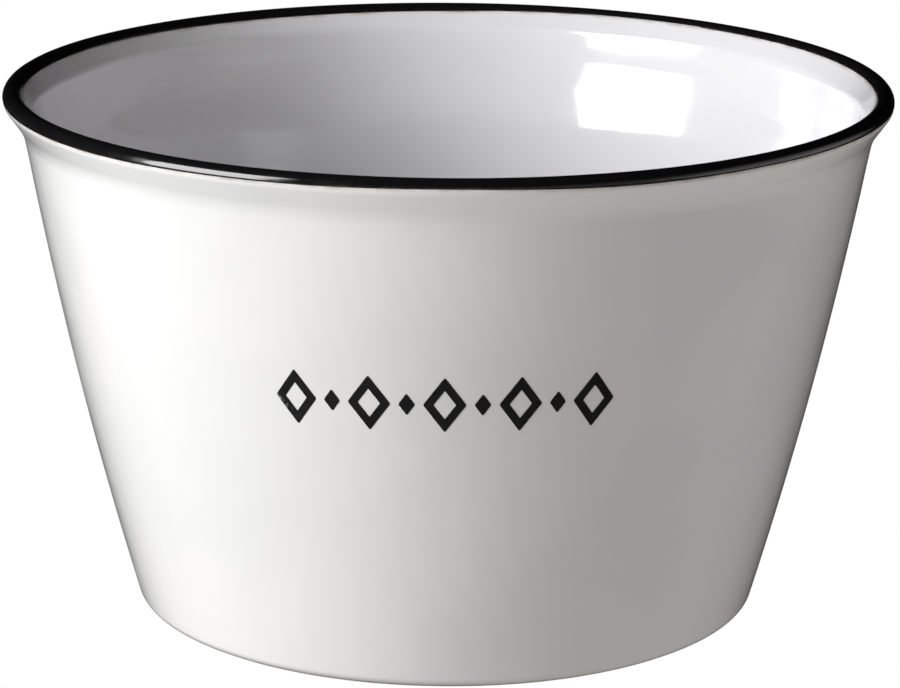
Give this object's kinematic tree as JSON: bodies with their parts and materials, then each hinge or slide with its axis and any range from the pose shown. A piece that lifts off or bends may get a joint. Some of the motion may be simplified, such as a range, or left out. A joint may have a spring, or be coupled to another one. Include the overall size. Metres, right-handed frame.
{
  "type": "serving bowl",
  "caption": "Empty tapering stoneware bowl, glazed white, with a flared round lip banded in black, a row of small black lozenges on its front and a low foot ring.",
  "frame": {"origin": "centre of the circle that the foot ring rests on", "axes": "+Z is the bowl's axis, from the foot to the mouth; -Y is the decorated front"},
  "size_m": [0.1598, 0.1598, 0.0948],
  "materials": {
    "white_glaze": "glossy",
    "black_glaze": "glossy",
    "bare_clay": "matte"
  },
  "bodies": {
    "root": {"bowl": "white_glaze"}
  },
  "joints": []
}
